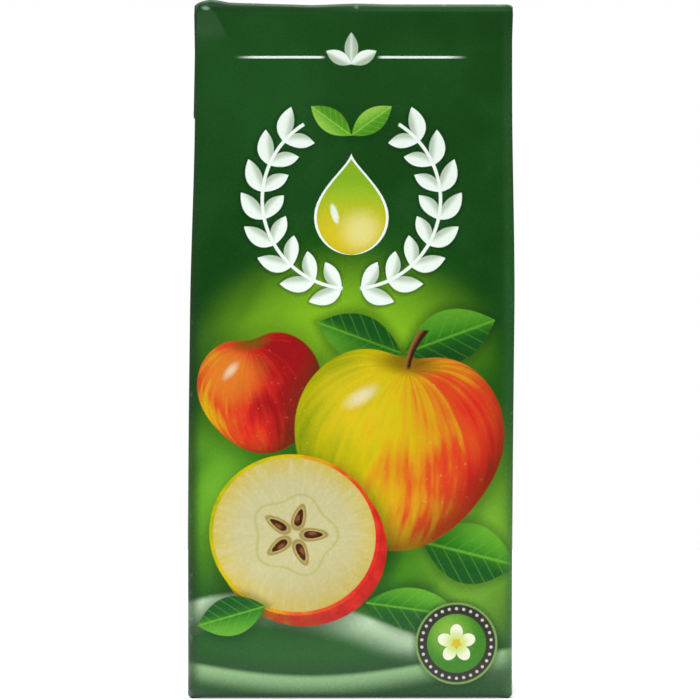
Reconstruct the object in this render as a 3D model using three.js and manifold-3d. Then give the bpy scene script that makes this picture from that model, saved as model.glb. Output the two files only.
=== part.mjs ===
// A one-litre brick carton for juice: one sheet of coated board, folded into a block, filled and sealed.
// It is shut, so it is one solid. The front panel faces -Y, +X is to its right, and it stands on z = 0.

import * as THREE from "three";
import { mergeVertices } from "three/addons/utils/BufferGeometryUtils.js";
import Module from "manifold-3d";

// Driving dimensions, in millimetres.
const WIDTH = 90; // front and back panels, fold to fold
const DEPTH = 60; // side panels, fold to fold
const HEIGHT = 195; // table to the fold of the top
const BOARD = 0.4; // one layer of board
const SEAL_WIDTH = 8; // the sealed strip across the top and the bottom, folded flat
const LAP_WIDTH = 9; // overlap of the seam down the back
const LAP_EDGE_X = 30; // outer edge of that overlap
const SIDE_FOLD_RADIUS = 2; // the four upright folds
const END_FOLD_RADIUS = 1.2; // the folds around the top and the bottom

// How far the filled pack leaves the plain block.
const TOP_NARROWING = 0.4; // each side is drawn in at the top
const LOW_WIDENING = 0.6; // and pushed out over the lower half
const WIDEST_BELOW = 0.55 * HEIGHT; // full width up to this height
const NARROW_ABOVE = 0.87 * HEIGHT; // drawn in from this height up
const WIDE_BOW = 1.4; // front and back panels bulge
const SIDE_BOW = 0.9; // side panels bulge
const BULGE_LOWERING = 0.8; // 1 would put the bulge at half height, less puts it lower
const TOP_SAG = 0.8; // the top panel sinks between its folds
const LEFT_LIFT = 1.1; // the left flap holds the top up a little
const LEFT_LIFT_REACH = 30; // over this far from the left fold
const FLAP_TUCK = 0.5; // a side flap lies closer at its fold than at its tip
const BASE_GAP = 0.3; // the bottom folds stay this far off the table
const BASE_RISE = 0.8; // the bottom panel rises between the flaps

// Sizes that follow.
const FLAP_LENGTH = DEPTH / 2; // a corner flap is a triangle half as long as its base
const FLAP_STACK = 2 * BOARD; // two layers of board
const FIN_STACK = 1.5 * BOARD; // two layers, pressed and sealed
const SUNK = 3; // how deep each flap and strip reaches into the block, to be joined to it
const ARC_STEPS = 2; // facets in half a fold
const SPANS = { x: 12, y: 8, z: 24 }; // facets between the folds

const { clamp, smoothstep } = THREE.MathUtils;
const wasm = await Module();
wasm.setup();

function toSolid(geometry) {
  const bare = geometry.clone();
  bare.deleteAttribute("normal");
  bare.deleteAttribute("uv");
  const merged = mergeVertices(bare, 1e-4);
  return new wasm.Manifold(
    new wasm.Mesh({
      numProp: 3,
      vertProperties: new Float32Array(merged.attributes.position.array),
      triVerts: new Uint32Array(merged.index.array),
    }),
  );
}

function toGeometry(solid) {
  const mesh = solid.getMesh();
  const geometry = new THREE.BufferGeometry();
  geometry.setAttribute("position", new THREE.BufferAttribute(mesh.vertProperties, 3));
  geometry.setIndex(new THREE.BufferAttribute(mesh.triVerts, 1));
  return geometry;
}

function movePoints(geometry, move) {
  const position = geometry.attributes.position;
  const point = new THREE.Vector3();
  for (let i = 0; i < position.count; i += 1) {
    move(point.fromBufferAttribute(position, i));
    position.setXYZ(i, point.x, point.y, point.z);
  }
  return geometry;
}

// Stands an extrusion up: its drawing axes become "across" and "up", its depth becomes "out".
function stand(geometry, across, up, out) {
  const axis = { x: [1, 0, 0], y: [0, 1, 0], z: [0, 0, 1], "-y": [0, -1, 0] };
  const [a, u, o] = [across, up, out].map((name) => new THREE.Vector3(...axis[name]));
  return geometry.applyMatrix4(new THREE.Matrix4().makeBasis(a, u, o));
}

// One crown over a panel: 1 in the middle, 0 at its folds.
function crown(share) {
  return Math.pow(Math.max(0, 1 - share * share), 1.5);
}

// The panels bulge most a little below the middle, where the juice presses hardest.
function bulgeAtHeight(z) {
  const lowered = Math.pow(clamp(z / HEIGHT, 0, 1), BULGE_LOWERING);
  return Math.sin(Math.PI * lowered);
}

// 0 inside the block and 1 at its panels, so that each bulge moves only its own panel.
function nearPanel(share) {
  return smoothstep(Math.abs(share), 0.6, 0.97);
}

function topLevel(x, y) {
  return HEIGHT - TOP_SAG * crown((2 * x) / WIDTH) * crown((2 * y) / DEPTH);
}

// Places of the grid lines along one side: close together over the folds, even between them.
function gridLines(half, radius, spans) {
  const flat = half - radius;
  const lines = [];
  for (let i = 0; i <= spans; i += 1) {
    lines.push(-flat + (2 * flat * i) / spans);
  }
  for (let i = 1; i <= ARC_STEPS; i += 1) {
    const reach = flat + radius * Math.tan((Math.PI / 4) * (i / ARC_STEPS));
    lines.push(reach);
    lines.unshift(-reach);
  }
  return lines;
}

// The block with rounded folds, a sunken top and a raised base.
function block() {
  const half = new THREE.Vector3(WIDTH / 2, DEPTH / 2, (HEIGHT - BASE_GAP) / 2);
  const radius = new THREE.Vector3(SIDE_FOLD_RADIUS, SIDE_FOLD_RADIUS, END_FOLD_RADIUS);
  const flat = half.clone().sub(radius);
  const lines = {};
  for (const axis of ["x", "y", "z"]) {
    lines[axis] = gridLines(half[axis], radius[axis], SPANS[axis]);
  }
  const counts = [lines.x, lines.y, lines.z].map((row) => row.length - 1);
  const geometry = new THREE.BoxGeometry(1, 1, 1, ...counts);
  return movePoints(geometry, (point) => {
    for (const axis of ["x", "y", "z"]) {
      const row = lines[axis];
      point[axis] = row[Math.round((point[axis] + 0.5) * (row.length - 1))];
    }
    const core = point.clone().clamp(flat.clone().negate(), flat);
    const over = point.clone().sub(core).divide(radius).normalize().multiply(radius);
    point.copy(core).add(over);
    point.z += half.z + BASE_GAP;
    const sunk = HEIGHT - topLevel(point.x, point.y);
    const raised = BASE_RISE * crown((2 * point.x) / WIDTH) * crown((2 * point.y) / DEPTH);
    point.z -= sunk * smoothstep(point.z, HEIGHT - 2 * END_FOLD_RADIUS, HEIGHT);
    point.z += raised * (1 - smoothstep(point.z, BASE_GAP, BASE_GAP + 2 * END_FOLD_RADIUS));
  });
}

// How far a side flap and the strip on it are drawn in at a height: all of it at the fold, none at the tip.
function tuck(z) {
  return FLAP_TUCK * clamp((z - HEIGHT) / FLAP_LENGTH + 1, 0, 1);
}

// A corner flap drawn with its base on the line above and its blunt tip below.
function flapOutline(rim) {
  const half = DEPTH / 2 - END_FOLD_RADIUS / 2 - rim;
  const tip = BOARD;
  const outline = new THREE.Shape();
  outline.moveTo(-half, -rim);
  outline.lineTo(-tip, rim - FLAP_LENGTH);
  outline.lineTo(tip, rim - FLAP_LENGTH);
  outline.lineTo(half, -rim);
  return outline;
}

// Flap on a side panel. "side" is -1 for the left one and 1 for the right one.
function sideFlap(side) {
  const rim = FLAP_STACK / 2;
  const geometry = new THREE.ExtrudeGeometry(flapOutline(rim), {
    depth: SUNK,
    bevelSize: rim,
    bevelThickness: rim,
    bevelSegments: 2,
  });
  stand(geometry, "y", "z", "x");
  geometry.translate(WIDTH / 2 + FLAP_STACK - SUNK - rim, 0, HEIGHT);
  movePoints(geometry, (point) => {
    point.x -= tuck(point.z);
  });
  return side > 0 ? geometry : geometry.rotateZ(Math.PI);
}

// Flap folded under the base.
function baseFlap(side) {
  const rim = FLAP_STACK / 4;
  const geometry = new THREE.ExtrudeGeometry(flapOutline(rim), {
    depth: SUNK,
    bevelSize: rim,
    bevelThickness: rim,
    bevelSegments: 1,
  });
  geometry.rotateZ(-Math.PI / 2);
  geometry.translate(WIDTH / 2 - END_FOLD_RADIUS, 0, rim);
  return side > 0 ? geometry : geometry.rotateZ(Math.PI);
}

// The top seal, one strip that runs up the left flap, over the top and down the right flap.
function topFin() {
  const rim = FIN_STACK / 3;
  const reach = WIDTH / 2 + FLAP_STACK + FIN_STACK - rim;
  const bend = FLAP_STACK + FIN_STACK;
  const middle = SEAL_WIDTH / 2;
  const foot = HEIGHT - FLAP_LENGTH;
  const outline = new THREE.Shape();
  outline.moveTo(-reach, foot + rim);
  outline.absarc(-reach + bend, HEIGHT + FIN_STACK - rim - bend, bend, Math.PI, Math.PI / 2, true);
  for (let i = 1; i < SPANS.x; i += 1) {
    const x = (WIDTH / 2) * ((2 * i) / SPANS.x - 1);
    outline.lineTo(x, topLevel(x, middle) + FIN_STACK - rim);
  }
  outline.absarc(reach - bend, HEIGHT + FIN_STACK - rim - bend, bend, Math.PI / 2, 0, true);
  outline.lineTo(reach, foot + rim);
  outline.lineTo(WIDTH / 2 - SUNK, foot + rim);
  outline.lineTo(WIDTH / 2 - SUNK, HEIGHT - SUNK);
  outline.lineTo(SUNK - WIDTH / 2, HEIGHT - SUNK);
  outline.lineTo(SUNK - WIDTH / 2, foot + rim);
  const geometry = new THREE.ExtrudeGeometry(outline, {
    depth: SEAL_WIDTH - 2 * rim,
    curveSegments: 2 * ARC_STEPS,
    bevelSize: rim,
    bevelThickness: rim,
    bevelSegments: 1,
  });
  stand(geometry, "x", "z", "-y");
  geometry.translate(0, SEAL_WIDTH - rim, 0);
  return movePoints(geometry, (point) => {
    const outside = smoothstep(Math.abs(point.x), WIDTH / 2 - SUNK, WIDTH / 2);
    point.x -= Math.sign(point.x) * tuck(point.z) * outside;
  });
}

// The bottom seal shows only between the tips of the two flaps under the base.
function baseFin() {
  const length = WIDTH - 2 * (FLAP_LENGTH - SUNK);
  const geometry = new THREE.BoxGeometry(length, SEAL_WIDTH, SUNK);
  return geometry.translate(0, -SEAL_WIDTH / 2, BASE_GAP + SUNK / 2);
}

// The seam down the back: a lap that ends in a cut edge and runs out flat on the other side.
function backLap() {
  const back = DEPTH / 2;
  const outline = new THREE.Shape();
  outline.moveTo(LAP_EDGE_X, back - SUNK);
  outline.lineTo(LAP_EDGE_X, back + BOARD);
  outline.lineTo(LAP_EDGE_X - LAP_WIDTH, back + BOARD / 4);
  outline.lineTo(LAP_EDGE_X - LAP_WIDTH, back - SUNK);
  const geometry = new THREE.ExtrudeGeometry(outline, {
    depth: HEIGHT - BASE_GAP - 2 * END_FOLD_RADIUS,
    steps: SPANS.z,
    bevelEnabled: false,
  });
  return geometry.translate(0, 0, BASE_GAP + END_FOLD_RADIUS);
}

// Filled and standing: drawn in at the top, wider below, its panels bowed and the left top fold held up.
function settle(point) {
  const share = { x: (2 * point.x) / WIDTH, y: (2 * point.y) / DEPTH };
  const low = 1 - smoothstep(point.z, WIDEST_BELOW, NARROW_ABOVE);
  const bulge = bulgeAtHeight(point.z);
  const high = smoothstep(point.z, HEIGHT - FLAP_LENGTH, HEIGHT);
  const left = 1 - smoothstep(point.x + WIDTH / 2, 0, LEFT_LIFT_REACH);
  point.x += share.x * ((LOW_WIDENING + TOP_NARROWING) * low - TOP_NARROWING);
  point.x += Math.sign(share.x) * SIDE_BOW * crown(share.y) * bulge * nearPanel(share.x);
  point.y += Math.sign(share.y) * WIDE_BOW * crown(share.x) * bulge * nearPanel(share.y);
  point.z += LEFT_LIFT * left * high;
}

function carton() {
  const pieces = [
    sideFlap(-1),
    sideFlap(1),
    baseFlap(-1),
    baseFlap(1),
    topFin(),
    baseFin(),
    backLap(),
  ];
  let solid = toSolid(block());
  for (const piece of pieces) {
    solid = solid.add(toSolid(piece));
  }
  return movePoints(toGeometry(solid), settle);
}

const printedBoard = new THREE.MeshStandardMaterial({
  name: "printed_board",
  color: 0x1e4f22,
  roughness: 0.38,
  metalness: 0,
});
const mesh = new THREE.Mesh(carton(), printedBoard);
mesh.name = "carton";

const juiceCarton = new THREE.Group();
juiceCarton.add(mesh);

export default juiceCarton;
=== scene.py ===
# %% [markdown]
# # A brick carton for juice
# A brick carton is one sheet of coated board. It is printed flat, rolled into a tube, filled, sealed across
# both ends and folded into a block. This lesson models the folded block with its flaps and seals, prints a
# design on it with shader nodes, and sets up the floor, the light and the camera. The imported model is
# loaded first and stays as it is: the new carton stands in its place, at the same size.

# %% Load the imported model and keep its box
import math

import bmesh
import bpy
import numpy as np
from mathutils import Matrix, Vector


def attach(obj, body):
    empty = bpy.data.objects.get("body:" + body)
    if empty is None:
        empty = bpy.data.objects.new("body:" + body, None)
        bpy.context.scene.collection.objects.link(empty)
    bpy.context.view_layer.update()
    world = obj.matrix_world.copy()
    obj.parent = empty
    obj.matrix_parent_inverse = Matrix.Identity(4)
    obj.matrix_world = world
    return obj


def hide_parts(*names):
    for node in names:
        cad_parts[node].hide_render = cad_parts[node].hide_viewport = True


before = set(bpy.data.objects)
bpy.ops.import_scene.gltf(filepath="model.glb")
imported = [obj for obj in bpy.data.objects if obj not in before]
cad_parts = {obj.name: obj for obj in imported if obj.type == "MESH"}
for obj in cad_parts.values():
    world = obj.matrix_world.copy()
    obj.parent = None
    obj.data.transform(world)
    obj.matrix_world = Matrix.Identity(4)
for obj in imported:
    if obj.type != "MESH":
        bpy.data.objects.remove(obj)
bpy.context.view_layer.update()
print("packed nodes:", list(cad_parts))

# %% [markdown]
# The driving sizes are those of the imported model, apart from the folds around the ends, which are a little
# tighter here. Blender works in metres, so every length is a number of millimetres times `mm`. The front
# panel faces -Y, +X is to its right, and the carton stands on z = 0.

# %% Driving sizes
mm = 0.001
WIDTH = 90 * mm
DEPTH = 60 * mm
HEIGHT = 195 * mm
BOARD = 0.4 * mm
SIDE_FOLD_RADIUS = 2 * mm
END_FOLD_RADIUS = 0.9 * mm
FLAP_LENGTH = DEPTH / 2
BASE_GAP = 0.3 * mm
print("panels, mm:", WIDTH / mm, DEPTH / mm, HEIGHT / mm)

# %% [markdown]
# The body is the filled block. A cube has its flat panels at once, so one is added at the block's size and
# place. All is deselected first, because an operator acts on everything that is selected, and the packed
# model still is. Applying the cube's place and scale puts them into the mesh, and the object stays at the
# origin.


# %% A block of the carton's size
def start_fresh():
    if bpy.context.object and bpy.context.object.mode != "OBJECT":
        bpy.ops.object.mode_set(mode="OBJECT")
    bpy.ops.object.select_all(action="DESELECT")


def name_new(name):
    """Applies the place of a new primitive and names it."""
    bpy.ops.object.transform_apply(location=True, rotation=True, scale=True)
    piece = bpy.context.object
    piece.name = piece.data.name = name
    return piece


def add_block(name, low, high):
    """Adds a cube primitive that fills a box."""
    start_fresh()
    low, high = Vector(low), Vector(high)
    bpy.ops.mesh.primitive_cube_add(size=1, location=(low + high) / 2, scale=high - low)
    return name_new(name)


carton = add_block("carton_board", (-WIDTH / 2, -DEPTH / 2, BASE_GAP), (WIDTH / 2, DEPTH / 2, HEIGHT))
print("block faces:", len(carton.data.polygons))

# %% [markdown]
# A fold around an end is tighter than an upright one, so the two kinds are bevelled one after the other.
# With the mouse the edges would be picked by clicking on them. In code they are picked by a test on their
# middle.


# %% Its rounded folds
def begin_edit(kind="EDGE"):
    bpy.ops.object.mode_set(mode="EDIT")
    bpy.ops.mesh.select_mode(type=kind)


def end_edit():
    bpy.ops.object.mode_set(mode="OBJECT")


def pick(kind, test):
    """Selects the "verts" or "edges" of the piece in edit mode whose middle passes a test."""
    mesh = bpy.context.object.data
    grid = bmesh.from_edit_mesh(mesh)
    bpy.ops.mesh.select_mode(type={"verts": "VERT", "edges": "EDGE"}[kind])
    bpy.ops.mesh.select_all(action="DESELECT")
    picked = 0
    for element in getattr(grid, kind):
        corners = [element.co] if kind == "verts" else [corner.co for corner in element.verts]
        if test(sum(corners, Vector()) / len(corners)):
            element.select_set(True)
            picked += 1
    grid.select_flush_mode()
    bmesh.update_edit_mesh(mesh)
    return picked


def at_place(axis, place):
    """A test for what lies at a place on one axis."""
    return lambda co: abs(co[axis] - place) < BOARD / 100


def round_picked(radius, segments):
    bpy.ops.mesh.bevel(offset=radius, segments=segments, affect="EDGES")


begin_edit()
rounded = pick("edges", at_place(2, (BASE_GAP + HEIGHT) / 2))
round_picked(SIDE_FOLD_RADIUS, segments=6)
for level in (BASE_GAP, HEIGHT):
    rounded += pick("edges", at_place(2, level))
    round_picked(END_FOLD_RADIUS, segments=4)
end_edit()
print("edges rounded:", rounded)

# %% [markdown]
# A flat panel has no points between its folds, so it couldn't bow. Subdividing gives points too, but it
# would also divide the narrow folds. Cuts by planes, evenly spaced from fold to fold, give a regular grid.

# %% A grid of points
GRID = 2.5 * mm
CUT_TOLERANCE = 1e-7
MERGE_DISTANCE = 2e-6


def slice_evenly(axis, start, end, step):
    """Cuts the piece in edit mode by planes across one axis, evenly spaced between two places."""
    normal = [0, 0, 0]
    normal[axis] = 1
    cuts = max(1, round((end - start) / step))
    for i in range(cuts + 1):
        place = [0, 0, 0]
        place[axis] = start + (end - start) * i / cuts
        bpy.ops.mesh.select_all(action="SELECT")
        bpy.ops.mesh.bisect(plane_co=place, plane_no=normal, threshold=CUT_TOLERANCE)
    bpy.ops.mesh.select_all(action="SELECT")
    bpy.ops.mesh.remove_doubles(threshold=MERGE_DISTANCE)


begin_edit()
slice_evenly(0, SIDE_FOLD_RADIUS - WIDTH / 2, WIDTH / 2 - SIDE_FOLD_RADIUS, GRID)
slice_evenly(1, SIDE_FOLD_RADIUS - DEPTH / 2, DEPTH / 2 - SIDE_FOLD_RADIUS, GRID)
slice_evenly(2, BASE_GAP + END_FOLD_RADIUS, HEIGHT - END_FOLD_RADIUS, GRID)
end_edit()
print("body faces:", len(carton.data.polygons))

# %% [markdown]
# A filled carton isn't a plain block. At the top left the flap pulls its corner up, the end of the top fold
# is rounded, and the rest of that fold waves a little. The front is knocked in there, left of a slanted
# crease. A sculptor would push the points by hand. Here formulas say how far each point moves, so that they
# can be used on the flaps and seals as well.

# %% The top fold and its knocked corner
CORNER_LIFT, CORNER_LIFT_RUN = 1.0 * mm, (4 * mm, 11 * mm)
LEFT_LIFT, LEFT_LIFT_RUN = 0.4 * mm, (9 * mm, 28 * mm)
CORNER_ROUND, CORNER_ROUND_RUN = 1.3 * mm, (-1 * mm, 4.5 * mm)
TOP_WAVE = 0.22 * mm
WAVE_DIP_X, WAVE_DIP_WIDTH = -11.5 * mm, 5 * mm
WAVE_RISE_X, WAVE_RISE_WIDTH = 1 * mm, 6 * mm
FACET_DEPTH = 0.7 * mm
FACET_RUN = 7 * mm
FACET_FOOT, FACET_TOP = 178 * mm, 190 * mm
FACET_BACK, FACET_FRONT = 20 * mm, 29 * mm
CREASE_X = -39.6 * mm
CREASE_SLOPE = 0.52


def smooth(value, low, high):
    share = np.clip((value - low) / (high - low), 0, 1)
    return share * share * (3 - 2 * share)


def top_edge(x):
    """How far the top fold stands above or below its level, from left to right."""
    from_left = x + WIDTH / 2
    lift = CORNER_LIFT * (1 - smooth(from_left, *CORNER_LIFT_RUN))
    lift += LEFT_LIFT * (1 - smooth(from_left, *LEFT_LIFT_RUN))
    lift -= CORNER_ROUND * (1 - smooth(from_left, *CORNER_ROUND_RUN))
    lift -= TOP_WAVE * np.exp(-(((x - WAVE_DIP_X) / WAVE_DIP_WIDTH) ** 2))
    return lift + TOP_WAVE * np.exp(-(((x - WAVE_RISE_X) / WAVE_RISE_WIDTH) ** 2))


def facet(x, y, z):
    """How far the front is pushed in at its knocked corner, left of the crease."""
    crease = CREASE_X + (HEIGHT - z) * CREASE_SLOPE
    beyond = np.clip((crease - x) / FACET_RUN, 0, 1)
    on_front = smooth(-y, FACET_BACK, FACET_FRONT)
    return FACET_DEPTH * beyond * on_front * smooth(z, FACET_FOOT, FACET_TOP)


lifts = [round(float(top_edge(share * WIDTH)) / mm, 2) for share in (-0.5, -0.4, 0, 0.5)]
print("top fold above its level, mm:", lifts)

# %% [markdown]
# The juice pushes the panels out, most below the middle, and the top is drawn in where there is a little
# air. The whole leans a hair to the right. A lattice could bend the block like this, but one function of a
# point's place can move all pieces alike, so the flaps and seals stay on the panels that carry them.

# %% How the filled carton settles
TOP_NARROWING = 0.4 * mm
LOW_WIDENING = 0.6 * mm
WIDEST_BELOW = 0.55 * HEIGHT
NARROW_ABOVE = 0.87 * HEIGHT
WIDE_BOW = 1.4 * mm
SIDE_BOW = 0.9 * mm
BULGE_LOWERING = 0.8
BOW_INNER, BOW_OUTER = 0.6, 0.97
LEAN = 1.0 * mm
LEAN_LOW, LEAN_HIGH = 0.15 * HEIGHT, 0.85 * HEIGHT
LEAN_AT_FOOT = 0.35


def crown(share):
    """1 in the middle of a panel, falling to 0 at its folds."""
    return np.clip(1 - share * share, 0, None) ** 1.5


def settle(points):
    x, y, z = points.T
    across, deep = 2 * x / WIDTH, 2 * y / DEPTH
    low = 1 - smooth(z, WIDEST_BELOW, NARROW_ABOVE)
    bulge = np.sin(np.pi * np.clip(z / HEIGHT, 0, 1) ** BULGE_LOWERING)
    settled = points.copy()
    settled[:, 0] += across * ((LOW_WIDENING + TOP_NARROWING) * low - TOP_NARROWING)
    settled[:, 0] += np.sign(x) * SIDE_BOW * crown(deep) * bulge * smooth(abs(across), BOW_INNER, BOW_OUTER)
    settled[:, 0] += LEAN * (smooth(z, LEAN_LOW, LEAN_HIGH) - LEAN_AT_FOOT)
    settled[:, 1] += np.sign(y) * WIDE_BOW * crown(across) * bulge * smooth(abs(deep), BOW_INNER, BOW_OUTER)
    settled[:, 1] += facet(x, y, z)
    settled[:, 2] += top_edge(x) * smooth(z, HEIGHT - FLAP_LENGTH, HEIGHT)
    return settled


middle_right = np.array([[WIDTH / 2, 0, HEIGHT / 2]])
moved_out = (settle(middle_right) - middle_right)[0, 0]
print("middle of the right panel moves out by, mm:", round(moved_out / mm, 2))

# %% [markdown]
# The two end panels are hollow before the whole settles: the top sags between its folds, and the bottom is
# drawn up, so that the carton stands on the flaps below it. Proportional editing could pull them in, but it
# would need a size of brush, and a formula takes the size of the panel.

# %% The body settles
TOP_SAG = 0.8 * mm
BASE_RISE = 0.8 * mm


def move_points(piece, move):
    """Moves all of a piece's points with a function of their N x 3 coordinates, as a sculptor would."""
    mesh = piece.data
    points = np.empty(3 * len(mesh.vertices))
    mesh.vertices.foreach_get("co", points)
    moved = move(points.reshape(-1, 3).copy())
    mesh.vertices.foreach_set("co", moved.ravel())
    mesh.update()


def hollow(x, y):
    """How much of its full sag an end panel has at a place."""
    return crown(2 * x / WIDTH) * crown(2 * y / DEPTH)


def sink_ends(points):
    """Lets the top panel sag and the bottom panel rise between their folds."""
    x, y, z = points.T
    sunk = points.copy()
    sunk[:, 2] -= TOP_SAG * hollow(x, y) * smooth(z, HEIGHT - 2 * END_FOLD_RADIUS, HEIGHT)
    sunk[:, 2] += BASE_RISE * hollow(x, y) * (1 - smooth(z, BASE_GAP, BASE_GAP + 2 * END_FOLD_RADIUS))
    return sunk


move_points(carton, sink_ends)
move_points(carton, settle)
print("body settled, points:", len(carton.data.vertices))

# %% [markdown]
# Folding the ends leaves a pointed flap at each side, two layers thick. At the top it is folded down on the
# side panel. It is held at its fold and stands a hair off the panel at its tip, so a thin shadow shows
# around it. Cutting it into the panel's grid would blur its slanted edges, so it is a plate of its own: its
# lower end is drawn in to the blunt tip, its edges are rounded, and it is sliced so that it can follow the
# panel's bow.

# %% How a flap is held
FLAP_STACK = 2 * BOARD
FLAP_TIP = 3 * BOARD
FLAP_EDGE = 0.8 * BOARD
FLAP_HALF = DEPTH / 2 - END_FOLD_RADIUS / 2
FLAP_REACH = WIDTH / 2 + FLAP_STACK
FLAP_FOOT = HEIGHT - FLAP_LENGTH
FLAP_TUCK = 0.5 * mm
TIP_TUCK = 0.25 * mm
FOLD_HOLD = 3 * mm
CORNER_SINK = 0.9 * mm


def tuck(z):
    """How far a flap is pressed into the side panel, most at its fold."""
    return TIP_TUCK + (FLAP_TUCK - TIP_TUCK) * np.clip((z - HEIGHT) / FLAP_LENGTH + 1, 0, 1)


def hold_at_fold(points):
    """Presses a side flap into the panel, roots it in the body at its fold and sinks its two corners."""
    inside = points[:, 0] < FLAP_REACH - FLAP_STACK + BOARD / 4
    near_fold = smooth(points[:, 2], HEIGHT - FOLD_HOLD, HEIGHT - FOLD_HOLD / 3)
    points[:, 0] -= tuck(points[:, 2]) + inside * near_fold * FOLD_HOLD
    points[:, 2] -= inside * smooth(points[:, 2], HEIGHT - BOARD, HEIGHT) * BOARD
    at_corner = smooth(abs(points[:, 1]), FLAP_HALF - FOLD_HOLD, FLAP_HALF)
    points[:, 0] -= CORNER_SINK * at_corner
    points[:, 2] -= CORNER_SINK / 2 * at_corner
    return points


print("flap, mm:", [round(side / mm, 1) for side in (2 * FLAP_HALF, FLAP_LENGTH, FLAP_STACK)])


# %% Side flaps
def draw_in_tip(axis, place):
    """Draws the end of a flap in to the width of its blunt tip."""
    pick("verts", at_place(axis, place))
    bpy.ops.transform.resize(value=(1, FLAP_TIP / (2 * FLAP_HALF), 1), center_override=(0, 0, 0))


def put_on_side(flap, side):
    """Mirrors a flap for the left side, lets it settle and turns its faces out again."""
    move_points(flap, lambda points: points * (side, 1, 1))
    move_points(flap, settle)
    begin_edit()
    bpy.ops.mesh.select_all(action="SELECT")
    bpy.ops.mesh.normals_make_consistent(inside=False)
    end_edit()


def model_side_flap(side):
    low = (FLAP_REACH - FLAP_STACK, -FLAP_HALF, FLAP_FOOT)
    flap = add_block(f"side_flap_{side}", low, (FLAP_REACH, FLAP_HALF, HEIGHT))
    begin_edit()
    draw_in_tip(2, FLAP_FOOT)
    pick("edges", lambda co: co.x > FLAP_REACH - BOARD / 4 and co.z > HEIGHT - BOARD / 4)
    round_picked(FLAP_STACK, segments=5)
    pick("edges", lambda co: co.x > FLAP_REACH - BOARD / 4 and co.z < HEIGHT - 2 * FLAP_STACK)
    round_picked(FLAP_EDGE, segments=3)
    slice_evenly(1, -FLAP_HALF, FLAP_HALF, GRID)
    slice_evenly(2, FLAP_FOOT, HEIGHT - FOLD_HOLD, GRID)
    end_edit()
    move_points(flap, hold_at_fold)
    put_on_side(flap, side)
    return flap


side_flaps = [model_side_flap(side) for side in (-1, 1)]
print("side flap faces:", [len(flap.data.polygons) for flap in side_flaps])

# %% [markdown]
# At the bottom the same flaps are folded under the base, and the carton stands on them. Only their lower
# side ever shows, so each is a thick wedge that reaches up into the body, and only its lower edges are
# rounded.

# %% Base flaps
BASE_FLAP_REACH = WIDTH / 2 - END_FOLD_RADIUS


def model_base_flap(side):
    tip_x = BASE_FLAP_REACH - FLAP_LENGTH
    high = (BASE_FLAP_REACH, FLAP_HALF, 2 * FOLD_HOLD)
    flap = add_block(f"base_flap_{side}", (tip_x, -FLAP_HALF, 0), high)
    begin_edit()
    draw_in_tip(0, tip_x)
    pick("edges", at_place(2, 0))
    round_picked(FLAP_EDGE, segments=3)
    end_edit()
    put_on_side(flap, side)
    return flap


base_flaps = [model_base_flap(side) for side in (-1, 1)]
print("base flap faces:", [len(flap.data.polygons) for flap in base_flaps])

# %% [markdown]
# The top seal is a strip that runs up the left flap, over the top and down the right flap. Three blocks
# would meet in hard corners, so it is drawn as a hand would bend it: one upright plane, whose edge is spun
# round the fold, pulled across the top, spun again and pulled down. Cuts give it points to sag with, and
# three more along each groove that the sealing jaw leaves.

# %% The top seal is bent
SEAL_WIDTH = 8 * mm
FIN_STACK = 1.5 * BOARD
FIN_BEND = FLAP_STACK + FIN_STACK
FIN_GROOVES = (0.3, 0.5, 0.7)
GROOVE_WIDTH = 0.5 * mm


def add_upright_strip(name, x, width, foot, top):
    """Adds a plane that stands across X, from y = 0 to its width."""
    start_fresh()
    bpy.ops.mesh.primitive_plane_add(
        size=1,
        location=(x, width / 2, (foot + top) / 2),
        rotation=(math.pi / 2, 0, math.pi / 2),
    )
    bpy.context.object.scale = (width, top - foot, 1)
    return name_new(name)


def bend_picked(x, z):
    """Spins the picked edge a quarter turn to the right, round a line along Y."""
    bpy.ops.mesh.spin(steps=6, angle=-math.pi / 2, center=(x, 0, z), axis=(0, 1, 0))


def pull_picked(x, z):
    bpy.ops.mesh.extrude_region_move(TRANSFORM_OT_translate={"value": (x, 0, z)})


def model_top_fin():
    bend_x, bend_z = FLAP_REACH - FIN_BEND, HEIGHT - FIN_BEND
    fin = add_upright_strip("top_fin", -FLAP_REACH, SEAL_WIDTH, FLAP_FOOT, bend_z)
    begin_edit()
    pick("edges", at_place(2, bend_z))
    bend_picked(-bend_x, bend_z)
    pick("edges", at_place(0, -bend_x))
    pull_picked(2 * bend_x, 0)
    pick("edges", at_place(0, bend_x))
    bend_picked(bend_x, bend_z)
    pick("edges", at_place(0, FLAP_REACH))
    pull_picked(0, FLAP_FOOT - bend_z)
    slice_evenly(0, -bend_x, bend_x, GRID)
    slice_evenly(2, FLAP_FOOT, bend_z, GRID)
    for share in FIN_GROOVES:
        middle = share * SEAL_WIDTH
        slice_evenly(1, middle - GROOVE_WIDTH / 2, middle + GROOVE_WIDTH / 2, GROOVE_WIDTH / 2)
    bpy.ops.mesh.normals_make_consistent(inside=False)
    end_edit()
    looks_up = max(face.normal.z for face in fin.data.polygons) > 0.5
    if not looks_up:
        fin.data.flip_normals()
    return fin


top_fin = model_top_fin()
print("top seal faces before it is thick:", len(top_fin.data.polygons))

# %% [markdown]
# The strip is two layers of board that the jaw pressed together. Its grooves are pushed in along the
# normals, and it is laid on the flaps and on the sagging top. Solidify then gives it the two layers. It
# starts a little inside the panel below, so that no gap is left. A small bevel takes the hardness off its
# cut edges.

# %% The top seal is grooved, laid down and made thick
GROOVE_DEPTH = 0.12 * mm
FIN_SUNK = 0.3 * mm
FIN_EDGE = 0.1 * mm


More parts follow.
